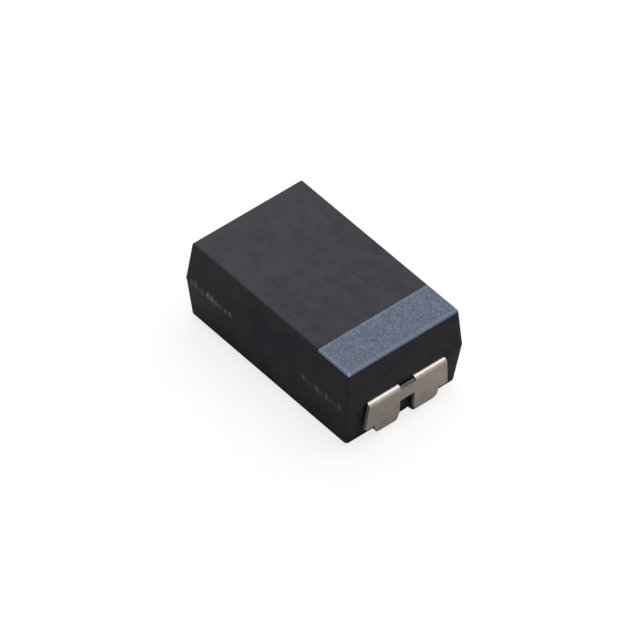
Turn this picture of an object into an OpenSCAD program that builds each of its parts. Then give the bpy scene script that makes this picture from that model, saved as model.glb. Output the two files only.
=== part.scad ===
// Moulded chip tantalum capacitor in the 7343-31 case size, in millimetres.
// +X points to the anode end, which carries the polarity band, and +Z points up.
// The origin is the centre of the footprint, on the seating plane.

/* [Case] */
// Length of the moulded case at its parting line
case_l = 7; // [6.9:0.02:7.02]
// Width of the case at its parting line
case_w = 4.35; // [4.2:0.05:4.5]
// Height of the case top above the seating plane
part_h = 2.9; // [2.8:0.05:3.1]
// Height of the parting line above the seating plane
parting_z = 1.53; // [1.45:0.01:1.55]
// Gap between the case underside and the seating plane
standoff = 0.1; // [0.06:0.01:0.14]
// Draft angle of the case walls, in degrees
draft = 4.5; // [3:0.5:7]
// Radius of the case edges
edge_r = 0.09; // [0.04:0.01:0.1]
// Height of the upright land at the parting line
land_h = 0.02; // [0.01:0.01:0.06]

/* [Polarity band] */
// Length of the band along the case, from the anode end at the parting line
band_l = 1.43; // [1.2:0.01:2]
// Depth of the coloured layer of the band
band_t = 0.02; // [0.01:0.01:0.05]

/* [Terminals] */
// Overall length over both terminals
overall_l = 7.3; // [7.28:0.01:7.5]
// Thickness of the terminal sheet
sheet_t = 0.11; // [0.1:0.01:0.13]
// Width of a terminal where it leaves the case
exit_w = 2.86; // [2.7:0.02:3]
// Width of a leg at the lower end of its ears
leg_w = 3.06; // [2.9:0.02:3.14]
// Height of the lower end of the ears above the seating plane
ear_z = 0.52; // [0.46:0.01:0.6]
// Width of a leg below its ears
neck_w = 2.36; // [2.2:0.02:2.4]
// Radius of the small relief between an ear and the neck
relief_r = 0.04; // [0.02:0.01:0.05]
// Width of a foot
foot_w = 1.76; // [1.7:0.02:2]
// Length of a foot, from the outer face of its terminal
foot_l = 1.3; // [1.1:0.05:1.5]
// Inward lean of the legs, in degrees
lean = 2.5; // [1:0.5:4]
// Outer radius of the bend beside the case
bend_r = 0.14; // [0.13:0.01:0.15]
// Outer radius of the bend above the foot
toe_r = 0.3; // [0.26:0.01:0.32]
// Width of the slot between the arms of a terminal
slot_w = 0.57; // [0.4:0.01:0.7]
// Height of the lower edge of the crossbar above the seating plane
bar_z = 0.95; // [0.85:0.01:1]
// Height of the crossbar
bar_h = 0.45; // [0.35:0.01:0.46]
// Width of the window below the crossbar
window_w = 0.53; // [0.4:0.01:0.6]
// Width of the window between the prongs of the foot
prong_gap = 0.74; // [0.65:0.01:0.85]
// Length of the window along the foot
window_l = 0.45; // [0.2:0.05:0.6]
// Clearance around a foot in its pocket in the case
pocket_gap = 0.05; // [0.04:0.01:0.08]

/* [Lead frame inside the case] */
// Length of the wide root of a terminal inside the case
root_l = 0.27; // [0.2:0.01:0.3]
// Width of the anode tab that carries the wire
tab_w = 1.6; // [1.2:0.1:2.2]
// Distance from the case end to the inner end of the anode tab
tab_l = 1.16; // [1:0.02:1.3]
// Width of the cathode paddle under the pellet
paddle_w = 2.2; // [1.6:0.1:2.6]
// Distance from the cathode end of the case to the far end of the paddle
paddle_l = 3.97; // [3:0.1:4.5]

/* [Capacitor element] */
// Length of the sintered pellet
pellet_l = 4.4; // [3.8:0.1:4.4]
// Width of the pellet
pellet_w = 3.3; // [2.8:0.1:3.4]
// Height of the pellet
pellet_h = 1.5; // [1.3:0.05:1.6]
// Distance from the cathode end of the case to the pellet
pellet_gap = 0.85; // [0.84:0.01:0.95]
// Diameter of the anode wire
wire_d = 0.36; // [0.3:0.02:0.4]
// Length of wire outside the pellet
wire_out = 0.97; // [0.9:0.01:1.1]
// Length of wire sintered into the pellet
wire_in = 2.7; // [1.5:0.1:3.2]
// Depth to which the weld sinks the wire into the anode tab
weld_sink = 0.03; // [0.02:0.01:0.06]
// Diameter of the insulating washer
washer_d = 1.2; // [0.8:0.05:1.3]
// Thickness of the washer
washer_t = 0.15; // [0.1:0.01:0.2]
// Thickness of the solid electrolyte over the pellet
electrolyte_t = 0.05; // [0.03:0.01:0.06]
// Thickness of the carbon layer
carbon_t = 0.03; // [0.02:0.01:0.04]
// Thickness of the silver layer
silver_t = 0.05; // [0.03:0.01:0.06]
// Distance by which the silver stops short of the wire end of the pellet
silver_short = 0.1; // [0.05:0.01:0.3]
// Thickness of the silver adhesive on the paddle
adhesive_t = 0.06; // [0.03:0.01:0.08]
// Margin between the edge of the paddle and the adhesive
adhesive_margin = 0.1; // [0.05:0.01:0.3]

/* [Hidden] */
$fn = 64;

// Length by which a cutting shape runs past what it cuts
past = 1;
case_end = case_l / 2;

// Centres of the two bends in the side view of a leg, and the outward normal of the leg
bend_c = [overall_l / 2 - bend_r, parting_z - bend_r];
leg_out = [cos(lean), -sin(lean)];
toe_x = bend_c.x + (bend_r - toe_r - sin(lean) * (bend_c.y - toe_r)) / cos(lean);
toe_c = [toe_x, toe_r];
foot_end = overall_l / 2 - foot_l;
window_end = toe_x - window_l;
root_end = case_end - root_l;
tab_end = case_end - tab_l;
neck_r = (neck_w - foot_w) / 2;
neck_z = 0.43;
flare_low_z = neck_z - neck_r;

// The wire runs along the middle of the pellet and lies in the top of the anode tab
wire_z = parting_z + wire_d / 2 - weld_sink;
pellet_back = pellet_gap - case_end;
pellet_face = pellet_back + pellet_l;
carbon_skin = electrolyte_t + carbon_t;
silver_skin = carbon_skin + silver_t;
paddle_top = wire_z - pellet_h / 2 - silver_skin - adhesive_t;
paddle_end = paddle_l - case_end;
// The paddle steps down between the case end and the pellet
step_gap = 0.06;
step_slope = 0.08;
step_x = pellet_back - silver_skin - step_gap;

// ---- Case ----

// Whole moulding, widest at its parting line, before anything is taken out of it
module case_blank() {
    hull()
        for (x = [-1, 1], y = [-1, 1]) {
            for (side = [1, -1]) {
                height = side > 0 ? part_h - parting_z : parting_z - standoff;
                inset = height * tan(draft);
                translate([
                    x * (case_end - inset - edge_r),
                    y * (case_w / 2 - inset - edge_r),
                    parting_z + side * (height - edge_r),
                ])
                    sphere(r = edge_r, $fn = 32);
            }
            translate([
                x * (case_end - edge_r),
                y * (case_w / 2 - edge_r),
                parting_z - land_h / 2,
            ])
                cylinder(r = edge_r, h = land_h, $fn = 32);
        }
}

// Space that the top layer of the case gives to the band
module band_space() {
    translate([case_end - band_l, -case_w, part_h - band_t])
        cube([band_l + past, 2 * case_w, band_t + past]);
}

// Recess under one end of the case, with a rib that keys between the prongs of the foot
module foot_pocket() {
    ceiling = sheet_t + pocket_gap;
    rib_w = window_w - 2 * pocket_gap;
    difference() {
        translate([foot_end - pocket_gap, -foot_w / 2 - pocket_gap, -past])
            cube([foot_l + past, foot_w + 2 * pocket_gap, ceiling + past]);
        translate([window_end + pocket_gap, -rib_w / 2, -2 * past])
            cube([foot_l + 2 * past, rib_w, ceiling + 3 * past]);
    }
}

module case() {
    color([0.16, 0.16, 0.175])
        difference() {
            case_blank();
            band_space();
            for (turn = [0, 180])
                rotate(turn) foot_pocket();
            anode_sheet();
            cathode_sheet();
            wire_body();
            washer_body();
            skin_block(electrolyte_t, pellet_face + electrolyte_t);
            skin_block(carbon_skin, pellet_face);
            skin_block(silver_skin, pellet_face - silver_short);
            adhesive_body();
        }
}

module polarity_band() {
    color([0.43, 0.47, 0.54])
        intersection() {
            case_blank();
            band_space();
        }
}

// ---- Terminals ----

// Side view of the space inside a bent terminal, down to a depth under its outer face
module lead_core(depth, extra) {
    translate(bend_c) circle(r = bend_r - depth);
    translate(toe_c) circle(r = toe_r - depth);
    polygon([
        bend_c,
        bend_c + (bend_r - depth) * leg_out,
        toe_c + (toe_r - depth) * leg_out,
        toe_c,
    ]);
    polygon([
        [foot_end - extra, depth],
        [toe_c.x, depth],
        toe_c,
        bend_c,
        [bend_c.x, parting_z - depth],
        [root_end - extra, parting_z - depth],
        [root_end - extra, parting_z / 2],
        [foot_end - extra, parting_z / 2],
    ]);
}

// One half of the outline of a terminal in front view: arm with its ear, rounded neck and foot
function lead_half() = [
    [exit_w / 2, parting_z + past],
    [leg_w / 2, ear_z],
    [neck_w / 2, ear_z],
    for (turn = [0:15:90])
        [foot_w / 2 + neck_r * cos(turn), neck_z - neck_r * sin(turn)],
    [foot_w / 2, -past],
];

// Front view of a terminal, with a small relief between each ear and the neck
module lead_front() {
    half = lead_half();
    other = [for (i = [len(half) - 1:-1:0]) [-half[i].x, half[i].y]];
    difference() {
        polygon(concat(half, other));
        for (side = [-1, 1])
            translate([side * (neck_w / 2 + relief_r), ear_z]) circle(r = relief_r);
    }
}

// Front view of the window, which flares between the prongs
module window_front() {
    polygon([
        [-window_w / 2, bar_z],
        [-window_w / 2, neck_z],
        [-prong_gap / 2, flare_low_z],
        [-prong_gap / 2, -past],
        [prong_gap / 2, -past],
        [prong_gap / 2, flare_low_z],
        [window_w / 2, neck_z],
        [window_w / 2, bar_z],
    ]);
}

// Extrudes a front view, drawn in Y and Z, from x outward
module front_prism(x) {
    translate([x, 0, 0])
        rotate([90, 0, 90])
            linear_extrude(height = overall_l) children();
}

// Bent sheet of the terminal at the +X end, from its root inside the case to its foot
module bent_sheet() {
    difference() {
        intersection() {
            rotate([90, 0, 0])
                linear_extrude(height = 2 * leg_w, center = true)
                    difference() {
                        lead_core(0, 0);
                        lead_core(sheet_t, past);
                    }
            front_prism(0) lead_front();
        }
        front_prism(window_end) window_front();
        translate([root_end, -slot_w / 2, bar_z + bar_h])
            cube([root_l + past, slot_w, past]);
    }
}

module anode_sheet() {
    difference() {
        union() {
            bent_sheet();
            translate([tab_end, -tab_w / 2, parting_z - sheet_t])
                cube([root_end - tab_end, tab_w, sheet_t]);
        }
        wire_body();
    }
}

// Paddle that steps down from the cathode root and carries the pellet
module paddle() {
    slant = sheet_t * step_slope;
    rotate([90, 0, 0])
        linear_extrude(height = paddle_w, center = true)
            polygon([
                [-root_end, parting_z],
                [step_x - step_slope, parting_z],
                [step_x, paddle_top],
                [paddle_end, paddle_top],
                [paddle_end, paddle_top - sheet_t],
                [step_x - sheet_t, paddle_top - sheet_t],
                [step_x - sheet_t - step_slope - slant, parting_z - sheet_t],
                [-root_end, parting_z - sheet_t],
            ]);
}

module cathode_sheet() {
    rotate(180) bent_sheet();
    paddle();
}

module anode_terminal() {
    color([0.62, 0.6, 0.57]) anode_sheet();
}

module cathode_terminal() {
    color([0.62, 0.6, 0.57]) cathode_sheet();
}

// ---- Capacitor element ----

// Block around the pellet, grown by a skin on five sides and ending at x on the wire side
module skin_block(skin, x) {
    translate([
        pellet_back - skin,
        -pellet_w / 2 - skin,
        wire_z - pellet_h / 2 - skin,
    ])
        cube([
            x - pellet_back + skin,
            pellet_w + 2 * skin,
            pellet_h + 2 * skin,
        ]);
}

// Round bar along the wire axis, between two places on it
module axial(d, from, to) {
    translate([from, 0, wire_z])
        rotate([0, 90, 0]) cylinder(d = d, h = to - from);
}

module wire_body() {
    axial(wire_d, pellet_face - wire_in, pellet_face + wire_out);
}

module washer_body() {
    axial(washer_d, pellet_face, pellet_face + washer_t);
}

module adhesive_body() {
    translate([
        pellet_back,
        -paddle_w / 2 + adhesive_margin,
        paddle_top,
    ])
        cube([
            paddle_end - adhesive_margin - pellet_back,
            paddle_w - 2 * adhesive_margin,
            adhesive_t,
        ]);
}

module anode_wire() {
    color([0.55, 0.56, 0.6]) wire_body();
}

module tantalum_pellet() {
    color([0.36, 0.37, 0.41])
        difference() {
            skin_block(0, pellet_face);
            wire_body();
        }
}

module ptfe_washer() {
    color([0.93, 0.93, 0.9])
        difference() {
            washer_body();
            wire_body();
        }
}

module electrolyte_layer() {
    color([0.1, 0.09, 0.09])
        difference() {
            skin_block(electrolyte_t, pellet_face + electrolyte_t);
            skin_block(0, pellet_face);
            washer_body();
        }
}

module carbon_layer() {
    color([0.06, 0.06, 0.07])
        difference() {
            skin_block(carbon_skin, pellet_face);
            skin_block(electrolyte_t, pellet_face + electrolyte_t);
        }
}

module silver_layer() {
    color([0.76, 0.76, 0.74])
        difference() {
            skin_block(silver_skin, pellet_face - silver_short);
            skin_block(carbon_skin, pellet_face);
        }
}

module silver_adhesive() {
    color([0.68, 0.67, 0.64]) adhesive_body();
}

case();
polarity_band();
anode_terminal();
cathode_terminal();
anode_wire();
tantalum_pellet();
ptfe_washer();
electrolyte_layer();
carbon_layer();
silver_layer();
silver_adhesive();
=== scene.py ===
import math
import random

import bmesh
import bpy
from mathutils import Matrix, Vector, noise


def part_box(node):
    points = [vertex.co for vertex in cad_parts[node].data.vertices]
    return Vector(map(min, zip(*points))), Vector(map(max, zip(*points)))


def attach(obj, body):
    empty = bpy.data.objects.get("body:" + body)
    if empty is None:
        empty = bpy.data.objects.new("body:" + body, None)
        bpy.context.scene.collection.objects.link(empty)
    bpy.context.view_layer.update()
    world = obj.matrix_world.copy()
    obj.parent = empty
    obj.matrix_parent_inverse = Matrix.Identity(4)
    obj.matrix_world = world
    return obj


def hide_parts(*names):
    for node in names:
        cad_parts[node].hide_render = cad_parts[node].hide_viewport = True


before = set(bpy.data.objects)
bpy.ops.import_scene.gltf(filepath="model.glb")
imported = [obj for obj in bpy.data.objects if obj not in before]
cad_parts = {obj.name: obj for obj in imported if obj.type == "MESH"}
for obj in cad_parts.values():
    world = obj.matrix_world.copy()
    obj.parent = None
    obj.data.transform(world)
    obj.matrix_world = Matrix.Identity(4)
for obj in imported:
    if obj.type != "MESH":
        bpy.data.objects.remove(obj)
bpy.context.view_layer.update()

# Lengths in this file are in millimetres, and MM turns them into metres.
MM = 0.001


def box_mm(node):
    """Lowest and highest corner of a CAD node, in millimetres."""
    low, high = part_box(node)
    return low / MM, high / MM


# ---- Sizes ----

case_low, case_high = box_mm("case")
band_low, band_high = box_mm("polarity_band")
lead_low, lead_high = box_mm("anode_terminal")
paddle_high = box_mm("cathode_terminal")[1]
silver_low = box_mm("silver_layer")[0]
adhesive_low = box_mm("silver_adhesive")[0]

# A length too small to see, which keeps neighbouring rows and limits apart
HAIR = 0.001

# Case: walls that lean in from the parting line, a little more on the long sides, and rounded edges
CASE_END = case_high.x
CASE_SIDE = case_high.y
CASE_TOP = case_high.z
CASE_BOTTOM = case_low.z
PARTING_Z = lead_high.z
DRAFT = math.tan(math.radians(4.9))
SIDE_DRAFT = 1.16
EDGE_R = 0.075
LOW_EDGE_R = 0.06
CORNER_R = 0.085
LOW_CORNER_R = 0.11
LEAST_CORNER_R = 0.02
CORNER_TAPER = 0.3
EDGE_STEPS = 6
CORNER_STEPS = 7
CASE_SHARP_ANGLE = 32

# Parting line: the lower mould half is a little smaller, and thin flash stands in the gap
HALF_STEP = 0.006
LAND_H = 0.02
FLASH_REACH = 0.016
FLASH_HALF_T = 0.011
FLASH_PITCH = 0.03
FLASH_WAVES = (9, 23)
FLASH_FALL = 1.3
SEAM_HALF = 0.19
SEAM_ROWS = 19

# Worn nubs on the flash of one long side: each end of the case with how worn it is, and their spread
WORN_ENDS = ((-1, 1.1), (1, 0.8))
NUB_REACH = 0.016
NUB_START = 0.31
NUB_SPAN = 2.0
NUB_PITCH = 0.26
NUB_PITCHES = (0.55, 1.2)
NUB_HALF_W = 0.043
NUB_HALF_H = 0.092
NUB_STRENGTHS = (0.3, 0.5, 0.75, 1.0)
NUB_SIZES = (0.8, 1.35)
NUB_LIFTS = (-0.025, 0.03)
NUB_SLANT = 0.3
NUB_FADE = 3
WEAR_START = 0.15
WEAR_DEPTH = 0.2
FLASH_WEAR = 0.4
FLASH_WEAR_WAVES = 8
FLASH_WEAR_HALF_H = 0.035

# Polarity band: a thin layer of ink sunk in the case, with an uneven inner edge
BAND_START = band_low.x
BAND_SINK = 0.02
BAND_RISE = 0.004
BAND_RAGGED = 0.009
RAGGED_WAVES = (6, 19)
RAGGED_STEPS = 120
BAND_SHARP_ANGLE = 40
RIM_X = band_high.x
RIM_Y = band_high.y

# Terminals: one folded sheet each, with half widths from the middle line
SHEET_T = 0.11
OUTER_X = lead_high.x
BEND_R = 0.14
TOE_R = 0.3
LEAN = math.radians(2.5)
EXIT_HALF = 1.43
EAR_HALF = 1.53
EAR_Z = 0.52
NECK_HALF = 1.18
NECK_Z = 0.43
FOOT_HALF = 0.88
FOOT_END = lead_low.x
RELIEF_R = 0.04
EAR_ROUND = 0.05
EAR_FADE = 0.12
EXIT_ROUND = 0.06
SLOT_HALF = 0.285
BAR_TOP = 1.4
BAR_Z = 0.95
LIP_L = 0.12
LIP_DEPTH = 0.05
LIP_RISE = 0.01
WINDOW_HALF = 0.265
GAP_HALF = 0.37
WINDOW_L = 0.45
ROOT_X = CASE_END - 0.27
SHOULDER_L = 0.04
ROOT_ROW = 0.15
TAB_HALF = 0.8
PADDLE_HALF = 1.1
TAIL_OVERLAP = 0.02
STEP_GAP = 0.06
STEP_SLOPE = 0.08
POCKET_GAP = 0.05
POCKET_OVERLAP = 0.01
RIM_BEVEL = 0.012
LEAD_SHARP_ANGLE = 50

BEND_X = OUTER_X - BEND_R
BEND_Z = PARTING_Z - BEND_R
TOE_X = BEND_X + (BEND_R - TOE_R - math.sin(LEAN) * (BEND_Z - TOE_R)) / math.cos(LEAN)
NECK_R = NECK_HALF - FOOT_HALF
FLARE_Z = NECK_Z - NECK_R
WINDOW_END = TOE_X - WINDOW_L

# Points along and across a terminal
BEND_STEPS = 14
LEG_STEPS = 12
TOE_STEPS = 14
FOOT_STEPS = 10
NECK_STEPS = 8
TAIL_STEPS = 12
EXIT_ROWS = (0.15, 0.35, 0.6)
EAR_ROWS = (0.02, 0.045, 0.08, 0.12)
FOOT_ROWS = (0.1, 0.3, 0.6, 1)
LEAST_ROW_GAP = 0.006


# ---- Mesh helpers ----

def add_piece(name, verts, faces, materials):
    """A mesh object from points in millimetres."""
    mesh = bpy.data.meshes.new(name)
    mesh.from_pydata([Vector(v) * MM for v in verts], [], faces)
    mesh.validate()
    for material in materials:
        mesh.materials.append(material)
    piece = bpy.data.objects.new(name, mesh)
    bpy.context.scene.collection.objects.link(piece)
    return piece


def settle(piece):
    """Applies a piece's modifiers to its mesh."""
    graph = bpy.context.evaluated_depsgraph_get()
    mesh = bpy.data.meshes.new_from_object(piece.evaluated_get(graph))
    piece.modifiers.clear()
    old = piece.data
    piece.data = mesh
    bpy.data.meshes.remove(old)


def carve(piece, cutter):
    """Takes a closed cutter out of a piece."""
    tool = piece.modifiers.new("carve", "BOOLEAN")
    tool.operation = "DIFFERENCE"
    tool.solver = "EXACT"
    tool.object = cutter
    settle(piece)


def keep_flats_flat(piece):
    """Shading normals that follow the large faces, so that only the roundings blend."""
    normals = piece.modifiers.new("normals", "WEIGHTED_NORMAL")
    normals.mode = "FACE_AREA"
    normals.weight = 100
    normals.keep_sharp = True
    settle(piece)


def discard(piece):
    """Takes a piece and its mesh out of the scene."""
    mesh = piece.data
    bpy.data.objects.remove(piece)
    bpy.data.meshes.remove(mesh)


def block(low, high):
    """Closed box between two corners, for carving."""
    xs, ys, zs = zip(low, high)
    verts = [(x, y, z) for z in zs for y in ys for x in xs]
    faces = [(0, 2, 3, 1), (4, 5, 7, 6), (0, 1, 5, 4), (2, 6, 7, 3), (0, 4, 6, 2), (1, 3, 7, 5)]
    return add_piece("cutter", verts, faces, [])


def face_outward(piece):
    """Turns every face of a closed piece outward."""
    mesh = bmesh.new()
    mesh.from_mesh(piece.data)
    bmesh.ops.recalc_face_normals(mesh, faces=mesh.faces)
    mesh.to_mesh(piece.data)
    mesh.free()


def smooth(piece, degrees):
    """Smooth shading that keeps edges sharper than an angle."""
    piece.data.shade_smooth()
    piece.data.set_sharp_from_angle(angle=math.radians(degrees))


def ring_loops(loops, start):
    """Faces between closed rings of equal length, in order."""
    count = len(loops[0])
    faces = []
    for r in range(len(loops) - 1):
        for i in range(count):
            j = (i + 1) % count
            low, high = start + r * count, start + (r + 1) * count
            faces.append((low + i, low + j, high + j, high + i))
    return faces


# ---- Case ----

rng = random.Random(7343)


def nub_places():
    """Places, strengths, sizes and heights of the worn nubs along one long side, near both ends."""
    places = []
    for end, worn in WORN_ENDS:
        at = NUB_START
        while at < NUB_SPAN:
            x = end * (CASE_END - at)
            strength = rng.choice(NUB_STRENGTHS)
            size = rng.uniform(*NUB_SIZES)
            lift = rng.uniform(*NUB_LIFTS)
            places.append((x, strength * worn, size * worn, lift))
            at += NUB_PITCH * rng.uniform(*NUB_PITCHES)
    return places


NUBS = nub_places()


def wear_at(x, y, z):
    """Strength of the worn nubs and flash on the long side at -Y, from 0 to 1."""
    rise = z - PARTING_Z
    if y > -CASE_SIDE + WEAR_DEPTH or abs(rise) > SEAM_HALF - HAIR:
        return 0
    total = 0
    if CASE_END - NUB_SPAN < abs(x) < CASE_END - WEAR_START:
        broken = noise.noise(Vector((x * FLASH_WEAR_WAVES, 3, 7)))
        total = FLASH_WEAR * max(0, 0.4 + broken) * math.exp(-(rise / FLASH_WEAR_HALF_H) ** 2)
    for nub_x, strength, size, lift in NUBS:
        along = (rise - lift) / (NUB_HALF_H * size)
        across = (x - nub_x) / (NUB_HALF_W * size) + NUB_SLANT * along
        if abs(across) < NUB_FADE and abs(along) < NUB_FADE:
            total = max(total, strength * math.exp(-across * across - along * along))
    return total


def flash_at(x, y):
    """Reach of the thin flash at a place on the parting line."""
    long, short = FLASH_WAVES
    rough = noise.noise(Vector((x * long, y * long, 4)))
    rough += 0.5 * noise.noise(Vector((x * short, y * short, 9)))
    return FLASH_REACH * max(0, rough) ** FLASH_FALL


def ring(z, inset, corner, pitch=None):
    """Points round the case at one height. With a pitch, the sides have points between the corners."""
    half_x, half_y = CASE_END - inset, CASE_SIDE - SIDE_DRAFT * inset
    centres = ((half_x - corner, half_y - corner), (corner - half_x, half_y - corner),
               (corner - half_x, corner - half_y), (half_x - corner, corner - half_y))
    side_steps = (1, 1)
    if pitch:
        side_steps = (round(2 * CASE_END / pitch), round(2 * CASE_SIDE / pitch))
    points = []
    for quarter, (cx, cy) in enumerate(centres):
        for i in range(CORNER_STEPS + 1):
            a = math.pi / 2 * (quarter + i / CORNER_STEPS)
            points.append((cx + corner * math.cos(a), cy + corner * math.sin(a), z))
        steps = side_steps[quarter % 2]
        ax, ay, _ = points[-1]
        nx, ny = centres[(quarter + 1) % 4]
        a = math.pi / 2 * (quarter + 1)
        bx, by = nx + corner * math.cos(a), ny + corner * math.sin(a)
        for i in range(1, steps):
            t = i / steps
            points.append((ax + (bx - ax) * t, ay + (by - ay) * t, z))
    return points


def upper_corner(inset):
    """Corner radius of the case's rounded top edge, smaller further in."""
    return max(LEAST_CORNER_R, CORNER_R - inset * CORNER_TAPER)


def outward(x, y):
    """Direction away from the wall at a place on the parting line."""
    if CASE_END - abs(x) < CASE_SIDE - abs(y):
        return math.copysign(1, x), 0
    return 0, math.copysign(1, y)


def edge_profile(top):
    """Heights and insets of the rounding between wall and cap, from the wall on."""
    half_h = CASE_TOP - PARTING_Z if top else PARTING_Z - CASE_BOTTOM
    draft = math.atan(DRAFT)
    wall = half_h * DRAFT
    radius = EDGE_R if top else LOW_EDGE_R
    centre_in = wall + radius * (1 / math.cos(draft) - math.tan(draft))
    profile = []
    for i in range(EDGE_STEPS + 1):
        a = draft + (math.pi / 2 - draft) * i / EDGE_STEPS
        rise = half_h - radius + radius * math.sin(a)
        profile.append((PARTING_Z + rise * (1 if top else -1), centre_in - radius * math.cos(a)))
    return profile


def wall_inset(z):
    """Inset of the drafted wall at a height."""
    step = HALF_STEP if z < PARTING_Z - LAND_H / 2 else 0
    return step + max(0, abs(z - PARTING_Z) - LAND_H / 2) * DRAFT


def seam_rings():
    """Closely spaced rings over the parting line, with the flash and nubs raised."""
    heights = [PARTING_Z + SEAM_HALF * (2 * i / (SEAM_ROWS - 1) - 1) for i in range(SEAM_ROWS)]
    heights += [PARTING_Z - LAND_H / 2 - HAIR, PARTING_Z - LAND_H / 2 + HAIR, PARTING_Z + LAND_H / 2]
    rings = []
    for z in sorted(heights):
        points = []
        at_seam = math.exp(-((z - PARTING_Z) / FLASH_HALF_T) ** 2)
        at_border = abs(z - PARTING_Z) > SEAM_HALF - HAIR
        for x, y, _ in ring(z, wall_inset(z), CORNER_R, FLASH_PITCH):
            reach = 0 if at_border else flash_at(x, y) * at_seam + NUB_REACH * wear_at(x, y, z)
            nx, ny = outward(x, y)
            points.append((x + nx * reach, y + ny * reach, z))
        rings.append(points)
    return rings


def skirt(sparse_start, dense_start, flip):
    """Faces between a ring with plain sides and a ring with many points on each side."""
    sides = (round(2 * CASE_END / FLASH_PITCH), round(2 * CASE_SIDE / FLASH_PITCH))
    faces = []
    sparse_total = 4 * (CORNER_STEPS + 1)
    dense_total = 4 * CORNER_STEPS + 2 * (sides[0] + sides[1])
    s, d = 0, 0
    for quarter in range(4):
        for i in range(CORNER_STEPS):
            faces.append((sparse_start + s + i, dense_start + d + i,
                          dense_start + d + i + 1, sparse_start + s + i + 1))
        s += CORNER_STEPS
        d += CORNER_STEPS
        run = [dense_start + (d + i) % dense_total for i in range(sides[quarter % 2] + 1)]
        faces.append((sparse_start + s, *run, sparse_start + (s + 1) % sparse_total))
        s += 1
        d += sides[quarter % 2]
    return [tuple(reversed(f)) for f in faces] if flip else faces


def case_shell():
    """Moulded case as rings from the bottom cap to the top cap."""
    bottom = [ring(z, inset + HALF_STEP, LOW_CORNER_R) for z, inset in reversed(edge_profile(False))]
    top = [ring(z, inset, upper_corner(inset)) for z, inset in edge_profile(True)]
    seam = seam_rings()
    verts = []
    starts = []
    for loop in bottom + seam + top:
        starts.append(len(verts))
        verts += loop
    low, mid = len(bottom), len(bottom) + len(seam)
    faces = [tuple(reversed(range(len(bottom[0]))))]
    faces += ring_loops(bottom, starts[0])
    faces += skirt(starts[low - 1], starts[low], True)
    faces += ring_loops(seam, starts[low])
    faces += skirt(starts[mid], starts[mid - 1], False)
    faces += ring_loops(top, starts[mid])
    faces.append(tuple(range(starts[-1], len(verts))))
    return verts, faces


def carve_pockets(case):
    """Recesses for the feet, each with a rib that keys between the prongs."""
    ceiling = SHEET_T + POCKET_GAP
    rib = WINDOW_HALF - POCKET_GAP
    rib_end = WINDOW_END + POCKET_GAP
    wide = FOOT_HALF + POCKET_GAP
    overlap_x = rib_end - POCKET_OVERLAP
    outside_x = CASE_END + 1
    for end in (-1, 1):
        parts = (((FOOT_END - POCKET_GAP, -wide), (rib_end, wide)),
                 ((overlap_x, rib), (outside_x, wide)),
                 ((overlap_x, -wide), (outside_x, -rib)))
        for (x0, y0), (x1, y1) in parts:
            low = (min(end * x0, end * x1), y0, -1)
            high = (max(end * x0, end * x1), y1, ceiling)
            cutter = block(low, high)
            carve(case, cutter)
            discard(cutter)


def mark_wear(case):
    """Stores the wear of the nubs on the mesh for the material."""
    wear = case.data.attributes.new("wear", "FLOAT", "POINT")
    for i, vertex in enumerate(case.data.vertices):
        x, y, z = vertex.co / MM
        wear.data[i].value = wear_at(x, y, z)


def build_case(material, band):
    """Moulded case, with the band and the feet let into it."""
    verts, faces = case_shell()
    case = add_piece("moulded_case", verts, faces, [material])
    face_outward(case)
    carve(case, band)
    carve_pockets(case)
    mark_wear(case)
    smooth(case, CASE_SHARP_ANGLE)
    keep_flats_flat(case)
    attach(case, "root")
    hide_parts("case")


# ---- Polarity band ----

def end_points(points):
    """The part of a ring that goes round the two corners at the anode end, from -Y to +Y."""
    return points[3 * (CORNER_STEPS + 1):] + points[:CORNER_STEPS + 1]


def band_loops():
    """Open loops that follow the case edge round the anode end, from low on the edge inward."""
    half_h = CASE_TOP - PARTING_Z
    loops = []
    for z, inset in edge_profile(True):
        lift = BAND_RISE * (z - PARTING_Z) / half_h
        loops.append(end_points(ring(z + lift, inset, upper_corner(inset))))
    return loops


def ragged_edge(half_y, z):
    """Inner edge of the print, slightly uneven, from -Y to +Y."""
    long, short = RAGGED_WAVES
    points = []
    for i in range(RAGGED_STEPS + 1):
        y = half_y * (2 * i / RAGGED_STEPS - 1)
        uneven = noise.noise(Vector((y * long, 2, 0))) + 0.6 * noise.noise(Vector((y * short, 5, 0)))
        points.append((BAND_START + BAND_RAGGED * uneven, y, z))
    return points


def build_band(material):
    """Printed band: a thin layer over the top and round its edges, with a ragged inner edge."""
    loops = band_loops()
    verts = []
    starts = []
    for loop in loops:
        starts.append(len(verts))
        verts.append((BAND_START, loop[0][1], loop[0][2]))
        verts += loop
        verts.append((BAND_START, loop[-1][1], loop[-1][2]))
    count = len(loops[0]) + 2
    faces = []
    for r in range(len(loops) - 1):
        for i in range(count - 1):
            low, high = starts[r] + i, starts[r + 1] + i
            faces.append((low, low + 1, high + 1, high))
    inner = ragged_edge(-verts[starts[-1]][1], loops[-1][0][2])
    inner_start = len(verts)
    verts += inner[1:-1]
    flat = list(range(starts[-1], starts[-1] + count))
    flat += list(reversed(range(inner_start, inner_start + len(inner) - 2)))
    faces.append(tuple(flat))
    band = add_piece("printed_band", verts, faces, [material])
    layer = band.modifiers.new("layer", "SOLIDIFY")
    layer.thickness = (BAND_SINK + BAND_RISE) * MM
    layer.offset = -1
    settle(band)
    face_outward(band)
    return band


def dress_band(band):
    """Finishes the band once the case has been cut to it."""
    smooth(band, BAND_SHARP_ANGLE)
    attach(band, "root")
    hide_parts("polarity_band")


# ---- Terminals ----

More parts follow.
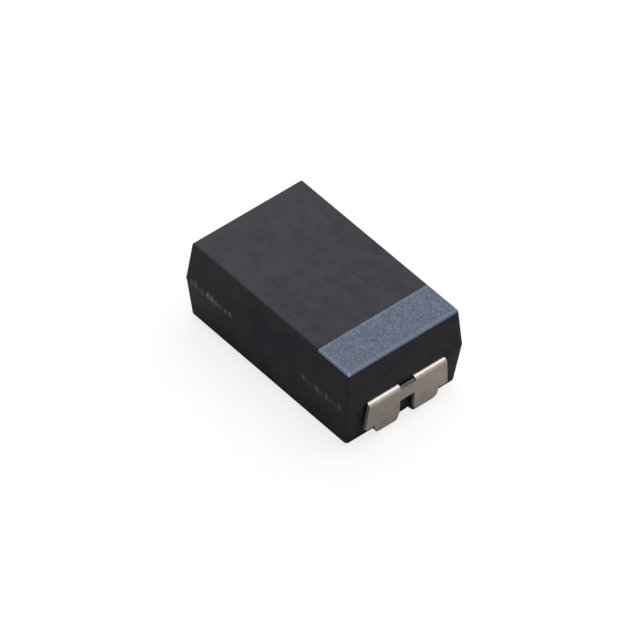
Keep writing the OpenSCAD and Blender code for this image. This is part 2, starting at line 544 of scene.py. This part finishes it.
# Lengths along a terminal's outer face, from its root inside the case to the end of its foot
ARC1 = BEND_R * (math.pi / 2 + LEAN)
LEG_TOP = BEND_Z - BEND_R * math.sin(LEAN)
LEG_END = TOE_R - TOE_R * math.sin(LEAN)
LEG_L = (LEG_TOP - LEG_END) / math.cos(LEAN)
ARC2 = TOE_R * (math.pi / 2 - LEAN)
S_BEND = BEND_X - ROOT_X
S_LEG = S_BEND + ARC1
S_TOE = S_LEG + LEG_L
S_FOOT = S_TOE + ARC2
S_END = S_FOOT + TOE_X - FOOT_END


def lead_point(s):
    """Outer face of a terminal at a length along it: place and outward direction, in side view."""
    if s < S_BEND:
        return (ROOT_X + s, PARTING_Z), (0, 1)
    if s < S_LEG:
        a = math.pi / 2 - (s - S_BEND) / BEND_R
        n = (math.cos(a), math.sin(a))
        return (BEND_X + BEND_R * n[0], BEND_Z + BEND_R * n[1]), n
    if s < S_TOE:
        n = (math.cos(LEAN), -math.sin(LEAN))
        d = s - S_LEG
        x = BEND_X + BEND_R * n[0] - d * math.sin(LEAN)
        return (x, LEG_TOP - d * math.cos(LEAN)), n
    if s < S_FOOT:
        a = -LEAN - (s - S_TOE) / TOE_R
        n = (math.cos(a), math.sin(a))
        return (TOE_X + TOE_R * n[0], TOE_R + TOE_R * n[1]), n
    return (TOE_X - (s - S_FOOT), 0), (0, -1)


def length_at(z):
    """Length along a terminal at a height on its bend, leg or toe."""
    if z > LEG_TOP:
        return S_BEND + BEND_R * (math.pi / 2 - math.asin((z - BEND_Z) / BEND_R))
    if z > LEG_END:
        return S_LEG + (LEG_TOP - z) / math.cos(LEAN)
    return S_TOE + TOE_R * (-LEAN - math.asin((z - TOE_R) / TOE_R))


S_SHOULDER = SHOULDER_L
S_WALL = CASE_END - ROOT_X
S_BAR_TOP = length_at(BAR_TOP)
S_LIP = S_BAR_TOP - LIP_L
S_LIP_TOP = S_BAR_TOP - LIP_RISE
S_BAR = length_at(BAR_Z)
S_EAR = length_at(EAR_Z)
S_NECK = length_at(NECK_Z)
S_FLARE = length_at(FLARE_Z)
S_WINDOW = S_FOOT + WINDOW_L


def spread(low, high, steps):
    """Evenly spaced values from one to another, both included."""
    return [low + (high - low) * i / steps for i in range(steps + 1)]


def lead_rows():
    """Lengths at which a terminal has a row of points."""
    rows = [0, S_SHOULDER, ROOT_ROW, S_WALL]
    rows += spread(S_BEND, S_LEG, BEND_STEPS)
    rows += spread(S_LEG, S_TOE, LEG_STEPS)
    rows += spread(S_TOE, S_FOOT, TOE_STEPS)
    rows += spread(S_FOOT, S_END, FOOT_STEPS)
    rows += [S_LIP, S_LIP_TOP, S_BAR_TOP, S_BAR, S_WINDOW]
    rows += [S_WALL + EXIT_ROUND * k for k in EXIT_ROWS]
    rows += [S_EAR - k for k in EAR_ROWS]
    rows += [S_EAR, S_NECK]
    for i in range(1, NECK_STEPS + 1):
        rows.append(length_at(NECK_Z - NECK_R * math.sin(math.pi / 2 * i / NECK_STEPS)))
    rows += [S_END - EAR_ROUND * k for k in FOOT_ROWS]
    features = (0, S_SHOULDER, S_WALL, S_LIP, S_LIP_TOP, S_BAR_TOP, S_BAR, S_EAR, S_NECK, S_WINDOW, S_END)
    kept = []
    for s in sorted(rows):
        fixed = any(math.isclose(s, f, abs_tol=1e-9) for f in features)
        if not kept or s - kept[-1] >= LEAST_ROW_GAP:
            kept.append(s)
        elif fixed:
            kept[-1] = s
    return kept


def rounded_in(depth, radius):
    """How far a rounded corner stands back at a depth from its end."""
    left = max(0, radius - depth)
    return radius - math.sqrt(max(0, radius * radius - left * left))


def half_widths(s):
    """Outer, neck and inner half widths of a terminal at a length along it."""
    z = lead_point(s)[0][1]
    outer = EAR_HALF + (EXIT_HALF - EAR_HALF) * (z - EAR_Z) / (PARTING_Z - EAR_Z)
    if s >= S_WALL:
        outer -= rounded_in(s - S_WALL, EXIT_ROUND)
    neck = NECK_HALF
    if s < S_SHOULDER:
        neck = TAB_HALF
    elif S_NECK < s < S_FLARE:
        neck = FOOT_HALF + math.sqrt(max(0, NECK_R ** 2 - (NECK_Z - z) ** 2))
    elif s >= S_FLARE:
        neck = FOOT_HALF - rounded_in(S_END - s, EAR_ROUND)
    if s <= S_BAR_TOP:
        inner = SLOT_HALF
    elif s <= S_BAR:
        inner = SLOT_HALF + (WINDOW_HALF - SLOT_HALF) * (s - S_BAR_TOP) / (S_BAR - S_BAR_TOP)
    elif s <= S_NECK:
        inner = WINDOW_HALF
    else:
        inner = WINDOW_HALF + (GAP_HALF - WINDOW_HALF) * min(1, (NECK_Z - z) / NECK_R)
    return outer, neck, inner


EAR_COLUMNS = (0, 0.02, 0.06, 0.1, 0.125, 0.15, 0.19, 0.23, 0.25, 0.4, 0.6, 0.78, 0.844, 0.9, 0.95, 0.985, 1)
MAIN_COLUMNS = spread(0, 1, 9)
CORE_COLUMNS = (0, 0.03, 0.25, 0.5, 0.75, 0.97, 1)


def row_columns(s):
    """Places across a terminal at a length along it, and the strip that each gap belongs to."""
    outer, neck, inner = half_widths(s)
    ear = [neck + (outer - neck) * k for k in EAR_COLUMNS]
    main = [inner + (neck - inner) * k for k in MAIN_COLUMNS]
    core = [inner * (2 * k - 1) for k in CORE_COLUMNS]
    half = main + ear[1:]
    return [-y for y in reversed(half)] + core[1:-1] + half


def strips():
    """Strip name of each gap between neighbouring columns."""
    ear = ["ear"] * (len(EAR_COLUMNS) - 1)
    main = ["main"] * (len(MAIN_COLUMNS) - 1)
    core = ["core"] * (len(CORE_COLUMNS) - 1)
    return ear + main + core + main + ear


def present(strip, s):
    """Whether a strip has metal at a length along the terminal."""
    if strip == "ear":
        return S_SHOULDER < s < S_EAR
    if strip == "core":
        return S_LIP < s < S_BAR or s > S_WINDOW
    return True


def ear_lift(y, s):
    """How far the lower edge of an ear is drawn up at its relief notch and outer corner."""
    fade = max(0, 1 - abs(S_EAR - s) / EAR_FADE)
    across = abs(y) - NECK_HALF - RELIEF_R
    lift = 0
    if s <= S_EAR and abs(across) < RELIEF_R:
        lift = math.sqrt(RELIEF_R ** 2 - across ** 2)
    if s <= S_EAR and abs(y) > EAR_HALF - EAR_ROUND:
        lift = rounded_in(EAR_HALF - abs(y), EAR_ROUND)
    return lift * fade


def on_lip(s, y):
    """Whether a place is on the thinner torn lip that the crossbar keeps in the slot."""
    return s < S_BAR_TOP - LIP_RISE / 2 and abs(y) < SLOT_HALF - HAIR


def lead_surface(depth):
    """Rows of points on the outer face, or at a depth under it."""
    grid = []
    for s in lead_rows():
        row = []
        for y in row_columns(s):
            (x, z), (nx, nz) = lead_point(s - ear_lift(y, s))
            deep = max(depth, LIP_DEPTH) if on_lip(s, y) else depth
            row.append((x - nx * deep, y, z - nz * deep))
        grid.append(row)
    return grid


def tail_rows(inner):
    """Side view of the part inside the case, as pairs of upper and lower points, from the root."""
    start = ROOT_X - TAIL_OVERLAP
    if inner == "tab":
        return [((x, PARTING_Z), (x, PARTING_Z - SHEET_T)) for x in (start, FOOT_END)]
    top = paddle_high.z
    floor = adhesive_low.z
    far = -paddle_high.x
    step = silver_low.x * -1 + STEP_GAP
    return [
        ((start, top), (start, top - SHEET_T)),
        ((step + STEP_SLOPE, top), (step + SHEET_T + STEP_SLOPE * (1 + SHEET_T), top - SHEET_T)),
        ((step, floor), (step + SHEET_T, floor - SHEET_T)),
        ((far, floor), (far, floor - SHEET_T)),
    ]


def bridge_rim(cells, outer_id, inner_id):
    """Faces of the cut edge round a set of surface cells."""
    seen = {}
    for cell in cells:
        for i in range(4):
            a, b = cell[i], cell[(i + 1) % 4]
            seen[(a, b)] = seen.get((a, b), 0) + 1
    return [(outer_id[b], outer_id[a], inner_id[a], inner_id[b])
            for a, b in seen if (b, a) not in seen]


def build_terminal(name, node, inner, tail_half, mirrored, metals):
    """One folded terminal: a grid over its outer face, the same at the sheet's depth, and a rim."""
    lengths = lead_rows()
    upper, lower = lead_surface(0), lead_surface(SHEET_T)
    kinds = strips()
    tail = tail_rows(inner)
    tail_ys = [tail_half * (2 * k / TAIL_STEPS - 1) for k in range(TAIL_STEPS + 1)]
    cells = []
    for r in range(len(lengths) - 1):
        middle = (lengths[r] + lengths[r + 1]) / 2
        for k, strip in enumerate(kinds):
            if present(strip, middle):
                cells.append((("m", r, k), ("m", r + 1, k), ("m", r + 1, k + 1), ("m", r, k + 1)))
    for r in range(len(tail) - 1):
        for k in range(TAIL_STEPS):
            cells.append((("t", r + 1, k), ("t", r, k), ("t", r, k + 1), ("t", r + 1, k + 1)))
    used = sorted({corner for cell in cells for corner in cell})
    verts, outer_id, inner_id = [], {}, {}
    for side, ids in ((0, outer_id), (1, inner_id)):
        for kind, r, k in used:
            ids[(kind, r, k)] = len(verts)
            if kind == "m":
                verts.append((upper, lower)[side][r][k])
            else:
                x, z = tail[r][side]
                verts.append((x, tail_ys[k], z))
    faces = [tuple(outer_id[c] for c in cell) for cell in cells]
    faces += [tuple(inner_id[c] for c in reversed(cell)) for cell in cells]
    plain = len(faces)
    faces += bridge_rim(cells, outer_id, inner_id)
    if mirrored:
        verts = [(-x, -y, z) for x, y, z in verts]
    piece = add_piece(name, verts, faces, metals)
    torn = [kind == "m" and kinds[k] == "core" and lengths[r] < S_BAR_TOP - LIP_RISE / 2
            for (kind, r, k), *_ in cells]
    for i, polygon in enumerate(piece.data.polygons):
        polygon.material_index = 1 if i >= plain else 2 * torn[i % len(cells)]
    face_outward(piece)
    rounding = piece.modifiers.new("rounding", "BEVEL")
    rounding.width = RIM_BEVEL * MM
    rounding.segments = 2
    rounding.limit_method = "ANGLE"
    rounding.angle_limit = math.radians(LEAD_SHARP_ANGLE)
    rounding.harden_normals = True
    rounding.material = 0
    smooth(piece, LEAD_SHARP_ANGLE)
    settle(piece)
    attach(piece, "root")
    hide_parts(node)


# ---- Colours ----

# Epoxy: its fine grain, the three tones of its mottling, its paler cathode end, which is painted light, and
# its worn places
EPOXY_DARK = (0.0115, 0.0112, 0.012)
EPOXY_LIGHT = (0.035, 0.0343, 0.0357)
EPOXY_CLOUD = (0.0262, 0.0243, 0.0248)
EPOXY_BLUISH = (0.0145, 0.0165, 0.025)
EPOXY_WARM = (0.0325, 0.0275, 0.029)
EPOXY_PAINTED_LIGHT = (0.0365, 0.0365, 0.0375)
EPOXY_WORN = (0.3, 0.3, 0.285)
EPOXY_GLOSS = (0.7, 0.745, 1.0)

# Ink: its grain, specks and patches, its paler inner edge, and painted highlights along its rounded outer
# edges
INK_DARK = (0.022, 0.033, 0.062)
INK_LIGHT = (0.096, 0.128, 0.184)
INK_SPECK = (0.16, 0.21, 0.28)
INK_VIOLET = (0.1, 0.105, 0.155)
INK_PALE_EDGE_AND_HIGHLIGHT = (0.19, 0.235, 0.3)
INK_SIDE_HIGHLIGHT = (0.215, 0.26, 0.35)
INK_CORNER_HIGHLIGHT = (0.34, 0.35, 0.4)

# Terminal sheet: its plating, and its sheared and torn edges
TIN_DARK = (0.37, 0.333, 0.29)
TIN_LIGHT = (0.47, 0.42, 0.368)
TIN_SCUFF = (0.3, 0.27, 0.235)
SHEARED_DARK = (0.3, 0.295, 0.29)
SHEARED_LIGHT = (0.45, 0.44, 0.43)
TORN_DARK = (0.1, 0.092, 0.076)
TORN_LIGHT = (0.18, 0.166, 0.14)

# Finishes of the pieces inside the case, by node
HIDDEN_FINISHES = {
    "anode_wire": {
        "name": "tantalum_wire", "size": 0.06, "dark": (0.36, 0.37, 0.4), "light": (0.46, 0.47, 0.5),
        "roughness": 0.3, "metallic": 1.0, "relief": 0.001,
    },
    "tantalum_pellet": {
        "name": "sintered_tantalum", "size": 0.04, "dark": (0.1, 0.105, 0.12), "light": (0.22, 0.225, 0.25),
        "roughness": 0.7, "metallic": 0.4, "relief": 0.004,
    },
    "ptfe_washer": {
        "name": "ptfe", "size": 0.2, "dark": (0.78, 0.78, 0.76), "light": (0.86, 0.86, 0.84),
        "roughness": 0.4, "metallic": 0.0, "relief": 0.001,
    },
    "electrolyte_layer": {
        "name": "electrolyte", "size": 0.05, "dark": (0.012, 0.011, 0.01), "light": (0.03, 0.026, 0.024),
        "roughness": 0.6, "metallic": 0.0, "relief": 0.004,
    },
    "carbon_layer": {
        "name": "carbon", "size": 0.05, "dark": (0.008, 0.008, 0.009), "light": (0.022, 0.022, 0.024),
        "roughness": 0.65, "metallic": 0.0, "relief": 0.004,
    },
    "silver_layer": {
        "name": "silver_paint", "size": 0.06, "dark": (0.5, 0.5, 0.48), "light": (0.66, 0.66, 0.63),
        "roughness": 0.42, "metallic": 0.8, "relief": 0.004,
    },
    "silver_adhesive": {
        "name": "silver_glue", "size": 0.08, "dark": (0.4, 0.4, 0.37), "light": (0.56, 0.55, 0.52),
        "roughness": 0.45, "metallic": 0.6, "relief": 0.004,
    },
}


# ---- Materials ----

class Nodes:
    """Short way to write a node material."""

    def __init__(self, name):
        self.material = bpy.data.materials.new(name)
        self.material.use_nodes = True
        self.tree = self.material.node_tree
        self.shader = self.tree.nodes["Principled BSDF"]
        self.place = self.add("ShaderNodeTexCoord").outputs["Object"]

    def add(self, kind, **settings):
        """A node of a kind, with its own settings."""
        node = self.tree.nodes.new(kind)
        for key, value in settings.items():
            setattr(node, key, value)
        return node

    def join(self, source, target):
        """Link from an output to an input."""
        self.tree.links.new(source, target)

    def noise(self, size, detail=2, rough=0.5, stretch=(1, 1, 1)):
        """Noise whose features are about size millimetres across."""
        spot = self.add("ShaderNodeMapping")
        spot.inputs["Scale"].default_value = [k / (size * MM) for k in stretch]
        self.join(self.place, spot.inputs["Vector"])
        node = self.add("ShaderNodeTexNoise")
        node.inputs["Scale"].default_value = 1
        node.inputs["Detail"].default_value = detail
        node.inputs["Roughness"].default_value = rough
        self.join(spot.outputs["Vector"], node.inputs["Vector"])
        return node.outputs["Fac"]

    def grains(self, size):
        """Cells about size millimetres across, each with its own random value."""
        spot = self.add("ShaderNodeMapping")
        spot.inputs["Scale"].default_value = [1 / (size * MM)] * 3
        self.join(self.place, spot.inputs["Vector"])
        node = self.add("ShaderNodeTexVoronoi")
        node.inputs["Scale"].default_value = 1
        self.join(spot.outputs["Vector"], node.inputs["Vector"])
        apart = self.add("ShaderNodeSeparateColor")
        self.join(node.outputs["Color"], apart.inputs["Color"])
        return apart.outputs["Red"]

    def ramp(self, value, stops):
        """Colour ramp over (place, colour) stops."""
        node = self.add("ShaderNodeValToRGB")
        band = node.color_ramp
        while len(band.elements) < len(stops):
            band.elements.new(0.5)
        for element, (at, colour) in zip(band.elements, stops):
            element.position = at
            element.color = (*colour, 1)
        self.join(value, node.inputs["Fac"])
        return node.outputs["Color"]

    def span(self, value, low, high, to_low=0, to_high=1):
        """Value mapped from one range to another."""
        node = self.add("ShaderNodeMapRange")
        for key, number in zip(("From Min", "From Max", "To Min", "To Max"), (low, high, to_low, to_high)):
            node.inputs[key].default_value = number
        self.join(value, node.inputs["Value"])
        return node.outputs["Result"]

    def along(self, axis, low, high):
        """0 to 1 between two places on an axis, in millimetres."""
        apart = self.add("ShaderNodeSeparateXYZ")
        self.join(self.place, apart.inputs["Vector"])
        return self.span(apart.outputs[axis], low * MM, high * MM)

    def math(self, how, a, b):
        """Result of a sum on two values, each a socket or a number."""
        node = self.add("ShaderNodeMath", operation=how)
        for socket, value in zip(node.inputs, (a, b)):
            if isinstance(value, (int, float)):
                socket.default_value = value
            else:
                self.join(value, socket)
        return node.outputs["Value"]

    def blend(self, amount, a, b, how="MIX"):
        """Mix of two colours, each a socket or a plain colour."""
        node = self.add("ShaderNodeMix", data_type="RGBA", blend_type=how)
        sockets = [s for s in node.inputs if s.type == "RGBA"]
        for socket, value in zip(sockets, (a, b)):
            if isinstance(value, tuple):
                socket.default_value = (*value, 1)
            else:
                self.join(value, socket)
        if isinstance(amount, (int, float)):
            node.inputs[0].default_value = amount
        else:
            self.join(amount, node.inputs[0])
        return [s for s in node.outputs if s.type == "RGBA"][0]

    def bump(self, height, depth):
        """Relief whose height is depth millimetres."""
        node = self.add("ShaderNodeBump")
        node.inputs["Distance"].default_value = depth * MM
        node.inputs["Strength"].default_value = 1
        self.join(height, node.inputs["Height"])
        self.join(node.outputs["Normal"], self.shader.inputs["Normal"])

    def set(self, **values):
        """Values of the shader's inputs, each a socket, a number or a colour."""
        for key, value in values.items():
            socket = self.shader.inputs[key.replace("_", " ")]
            if isinstance(value, (int, float)):
                socket.default_value = value
            elif isinstance(value, tuple):
                socket.default_value = (*value, 1)
            else:
                self.join(value, socket)


def epoxy_material():
    """Near-black moulding compound: matt, mottled, with pale worn nubs on the parting line, and painted
    light that makes it paler toward the cathode end.
    """
    n = Nodes("moulded_epoxy")
    fine = n.noise(size=0.07, detail=3, rough=0.6)
    cloud = n.noise(size=0.8, detail=3, rough=0.55)
    patch = n.noise(size=0.33, detail=3, rough=0.55)
    warm = n.noise(size=0.5, detail=3, rough=0.55, stretch=(1, 1.3, 1))
    colour = n.ramp(fine, [(0.3, EPOXY_DARK), (0.7, EPOXY_LIGHT)])
    colour = n.blend(n.span(cloud, 0.35, 0.65, 0, 0.6), colour, EPOXY_CLOUD)
    colour = n.blend(n.span(patch, 0.42, 0.62, 0, 0.65), colour, EPOXY_BLUISH)
    colour = n.blend(n.span(warm, 0.48, 0.62, 0, 0.55), colour, EPOXY_WARM)
    # Paler toward the cathode end: a painted light gradient, the shading of the lit top put into the colour
    painted_light_toward_cathode = n.math("MULTIPLY", n.along("X", 0.2, -3.4), 0.42)
    colour = n.blend(painted_light_toward_cathode, colour, EPOXY_PAINTED_LIGHT)
    wear = n.add("ShaderNodeAttribute", attribute_name="wear").outputs["Fac"]
    broken = n.math("MULTIPLY", wear, n.span(n.noise(size=0.05), 0.3, 0.7, 0.6, 1.2))
    colour = n.blend(broken, colour, EPOXY_WORN)
    sheen = n.math("ADD", n.span(cloud, 0.3, 0.7, 0.145, 0.205), n.span(fine, 0.3, 0.7, -0.02, 0.02))
    n.set(Base_Color=colour, Roughness=n.span(fine, 0.3, 0.7, 0.5, 0.62), Specular_IOR_Level=sheen)
    n.set(Specular_Tint=EPOXY_GLOSS)
    n.bump(n.noise(size=0.05, detail=3, rough=0.65), 0.005)
    return n.material


def band_material():
    """Blue-grey ink with a fine grain, a little paler along its inner edge, with painted highlights along
    its rounded outer edges and at their corner.
    """
    n = Nodes("band_ink")
    grain = n.noise(size=0.07, detail=3, rough=0.7)
    specks = n.grains(0.05)
    hue = n.noise(size=0.22)
    colour = n.ramp(grain, [(0.34, INK_DARK), (0.66, INK_LIGHT)])
    colour = n.blend(n.span(specks, 0.6, 1, 0, 0.6), colour, INK_SPECK)
    colour = n.blend(n.span(hue, 0.4, 0.65, 0, 0.4), colour, INK_VIOLET)
    # Paler along the inner edge, and a painted highlight along the rounded outer edge at the anode end
    inner = n.along("X", BAND_START + 0.1, BAND_START)
    outer = n.along("X", RIM_X - 0.11, RIM_X)
    colour = n.blend(n.math("MULTIPLY", n.math("MAXIMUM", inner, outer), 0.45), colour, INK_PALE_EDGE_AND_HIGHLIGHT)
    # Painted highlight along the rounded long-side edge, brightest where it meets the end edge at the corner
    side = n.along("Y", -RIM_Y + 0.1, -RIM_Y + 0.03)
    colour = n.blend(n.math("MULTIPLY", side, 0.62), colour, INK_SIDE_HIGHLIGHT)
    corner_highlight = n.math("MULTIPLY", n.along("X", RIM_X - 0.1, RIM_X - 0.03), side)
    colour = n.blend(n.math("MULTIPLY", corner_highlight, 0.7), colour, INK_CORNER_HIGHLIGHT)
    n.set(Base_Color=colour, Roughness=n.span(grain, 0.3, 0.7, 0.5, 0.7), Specular_IOR_Level=0.3)
    n.bump(grain, 0.006)
    return n.material


def tin_material():
    """Matt tin plating with faint scuffs."""
    n = Nodes("matt_tin")
    cloud = n.noise(size=0.35, detail=3, rough=0.6)
    scuffs = n.noise(size=0.1, detail=3, rough=0.6, stretch=(1, 1, 0.25))
    colour = n.ramp(cloud, [(0.3, TIN_DARK), (0.7, TIN_LIGHT)])
    colour = n.blend(n.span(scuffs, 0.62, 0.75, 0, 0.3), colour, TIN_SCUFF)
    n.set(Base_Color=colour, Metallic=1.0, Roughness=n.span(cloud, 0.3, 0.7, 0.37, 0.45))
    n.bump(n.noise(size=0.03, detail=3, rough=0.6), 0.0012)
    return n.material


def cut_material(name, dark, light):
    """Sheared edge of the sheet, duller and streaked through its thickness."""
    n = Nodes(name)
    streaks = n.noise(size=0.05, detail=3, rough=0.6, stretch=(0.4, 1, 1))
    colour = n.ramp(streaks, [(0.3, dark), (0.7, light)])
    n.set(Base_Color=colour, Metallic=1.0, Roughness=n.span(streaks, 0.3, 0.7, 0.45, 0.6))
    n.bump(streaks, 0.003)
    return n.material


def grainy_material(name, size, dark, light, roughness, metallic, relief):
    """Plain finish for a hidden piece: two tones in a grain of one size, with its relief."""
    n = Nodes(name)
    grain = n.noise(size, detail=3, rough=0.6)
    colour = n.ramp(grain, [(0.3, dark), (0.7, light)])
    n.set(Base_Color=colour, Metallic=metallic)
    n.set(Roughness=n.span(grain, 0.3, 0.7, roughness, roughness + 0.12))
    n.bump(grain, relief)
    return n.material


def finish_node(node, material):
    """Gives a CAD node that stays a material of its own."""
    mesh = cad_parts[node].data
    if not mesh.materials:
        mesh.materials.append(material)
    for i in range(len(mesh.materials)):
        mesh.materials[i] = material


def finish_hidden_nodes():
    """Finishes of the pieces inside the case, which keep their CAD meshes."""
    for node, finish in HIDDEN_FINISHES.items():
        finish_node(node, grainy_material(**finish))


# ---- Stage ----

WORLD_FILL = 0.15
FLOOR_HALF = 400
FLOOR_TONE = 0.5
FLOOR_WHITE = 1.0
FLOOR_GLOW = 0.8
LAMP_PLACE = (-60, 170, 500)
LAMP_SIZE = 700
LAMP_POWER = 4.5
CAMERA_AZIMUTH = 47.783
CAMERA_ELEVATION = 45.304
CAMERA_ROLL = 2.121
CAMERA_DISTANCE = 225.9
CAMERA_LENS = 450
CAMERA_AIM = (0, 0, 1.45)
CAMERA_SHIFT = (-0.103, -0.21)
SEEN_RAYS = ("Is Camera Ray", "Is Transmission Ray")


def ray_amount(tree, names):
    """1 where any of the named Light Path outputs is 1."""
    path = tree.nodes.new("ShaderNodeLightPath")
    total = path.outputs[names[0]]
    for name in names[1:]:
        node = tree.nodes.new("ShaderNodeMath")
        node.operation = "MAXIMUM"
        tree.links.new(total, node.inputs[0])
        tree.links.new(path.outputs[name], node.inputs[1])
        total = node.outputs["Value"]
    return total


def build_world():
    """White to the camera and in reflections, and a soft even fill for everything else."""
    world = bpy.data.worlds.new("studio")
    bpy.context.scene.world = world
    world.use_nodes = True
    tree = world.node_tree
    back = tree.nodes["Background"]
    white = tree.nodes.new("ShaderNodeBackground")
    mix = tree.nodes.new("ShaderNodeMixShader")
    back.inputs["Color"].default_value = (1, 1, 1, 1)
    back.inputs["Strength"].default_value = WORLD_FILL
    white.inputs["Color"].default_value = (1, 1, 1, 1)
    white.inputs["Strength"].default_value = 1
    tree.links.new(ray_amount(tree, (*SEEN_RAYS, "Is Glossy Ray")), mix.inputs["Fac"])
    tree.links.new(back.outputs[0], mix.inputs[1])
    tree.links.new(white.outputs[0], mix.inputs[2])
    tree.links.new(mix.outputs[0], tree.nodes["World Output"].inputs["Surface"])


def build_floor():
    """Pale floor that is white to the camera and keeps a soft shadow; clear from below."""
    material = bpy.data.materials.new("pale_floor")
    material.use_nodes = True
    tree = material.node_tree
    tree.nodes.remove(tree.nodes["Principled BSDF"])
    seen = ray_amount(tree, SEEN_RAYS)
    matt = tree.nodes.new("ShaderNodeBsdfDiffuse")
    tone = tree.nodes.new("ShaderNodeMix")
    tone.inputs["A"].default_value = FLOOR_TONE
    tone.inputs["B"].default_value = FLOOR_WHITE
    tree.links.new(seen, tone.inputs["Factor"])
    tree.links.new(tone.outputs["Result"], matt.inputs["Color"])
    glow = tree.nodes.new("ShaderNodeEmission")
    glow.inputs["Strength"].default_value = 1
    share = tree.nodes.new("ShaderNodeMath")
    share.operation = "MULTIPLY"
    share.inputs[1].default_value = FLOOR_GLOW
    tree.links.new(seen, share.inputs[0])
    lit = tree.nodes.new("ShaderNodeMixShader")
    tree.links.new(share.outputs["Value"], lit.inputs["Fac"])
    tree.links.new(matt.outputs[0], lit.inputs[1])
    tree.links.new(glow.outputs[0], lit.inputs[2])
    side = tree.nodes.new("ShaderNodeNewGeometry")
    clear = tree.nodes.new("ShaderNodeBsdfTransparent")
    both = tree.nodes.new("ShaderNodeMixShader")
    tree.links.new(side.outputs["Backfacing"], both.inputs["Fac"])
    tree.links.new(lit.outputs[0], both.inputs[1])
    tree.links.new(clear.outputs[0], both.inputs[2])
    tree.links.new(both.outputs[0], tree.nodes["Material Output"].inputs["Surface"])
    half = FLOOR_HALF
    verts = [(-half, -half, 0), (half, -half, 0), (half, half, 0), (-half, half, 0)]
    floor = add_piece("pale_floor", verts, [(0, 1, 2, 3)], [material])


def build_lamp():
    """Large square softbox that faces the object and that the camera doesn't see."""
    data = bpy.data.lights.new("softbox", "AREA")
    data.shape = "SQUARE"
    data.size = LAMP_SIZE * MM
    data.energy = LAMP_POWER
    lamp = bpy.data.objects.new("softbox", data)
    lamp.location = Vector(LAMP_PLACE) * MM
    lamp.rotation_mode = "QUATERNION"
    lamp.rotation_quaternion = (-lamp.location).to_track_quat("-Z", "Y")
    lamp.visible_camera = False
    bpy.context.scene.collection.objects.link(lamp)


def build_camera():
    """Long lens that looks down on the anode end from one side."""
    azimuth, elevation = math.radians(CAMERA_AZIMUTH), math.radians(CAMERA_ELEVATION)
    roll = math.radians(CAMERA_ROLL)
    back = Vector((math.sin(azimuth) * math.cos(elevation),
                   -math.cos(azimuth) * math.cos(elevation), math.sin(elevation)))
    level = Vector((math.cos(azimuth), math.sin(azimuth), 0))
    upright = back.cross(level)
    right = math.cos(roll) * level + math.sin(roll) * upright
    up = math.cos(roll) * upright - math.sin(roll) * level
    across, upward = CAMERA_SHIFT
    target = Vector(CAMERA_AIM) + across * right + upward * up
    data = bpy.data.cameras.new("camera")
    data.lens = CAMERA_LENS
    data.sensor_width = 36
    data.clip_start = 0.001
    data.clip_end = 10
    camera = bpy.data.objects.new("camera", data)
    turn = Matrix((right, up, back)).transposed().to_4x4()
    camera.matrix_world = Matrix.Translation((target + back * CAMERA_DISTANCE) * MM) @ turn
    bpy.context.scene.collection.objects.link(camera)
    bpy.context.scene.camera = camera


def build_all():
    """Pieces, finishes and stage."""
    bpy.context.scene.view_settings.view_transform = "Standard"
    metals = [
        tin_material(),
        cut_material("sheared_edge", SHEARED_DARK, SHEARED_LIGHT),
        cut_material("torn_lip", TORN_DARK, TORN_LIGHT),
    ]
    band = build_band(band_material())
    build_case(epoxy_material(), band)
    dress_band(band)
    build_terminal("folded_anode_lead", "anode_terminal", "tab", TAB_HALF, False, metals)
    build_terminal("folded_cathode_lead", "cathode_terminal", "paddle", PADDLE_HALF, True, metals)
    finish_hidden_nodes()
    build_world()
    build_floor()
    build_lamp()
    build_camera()


build_all()
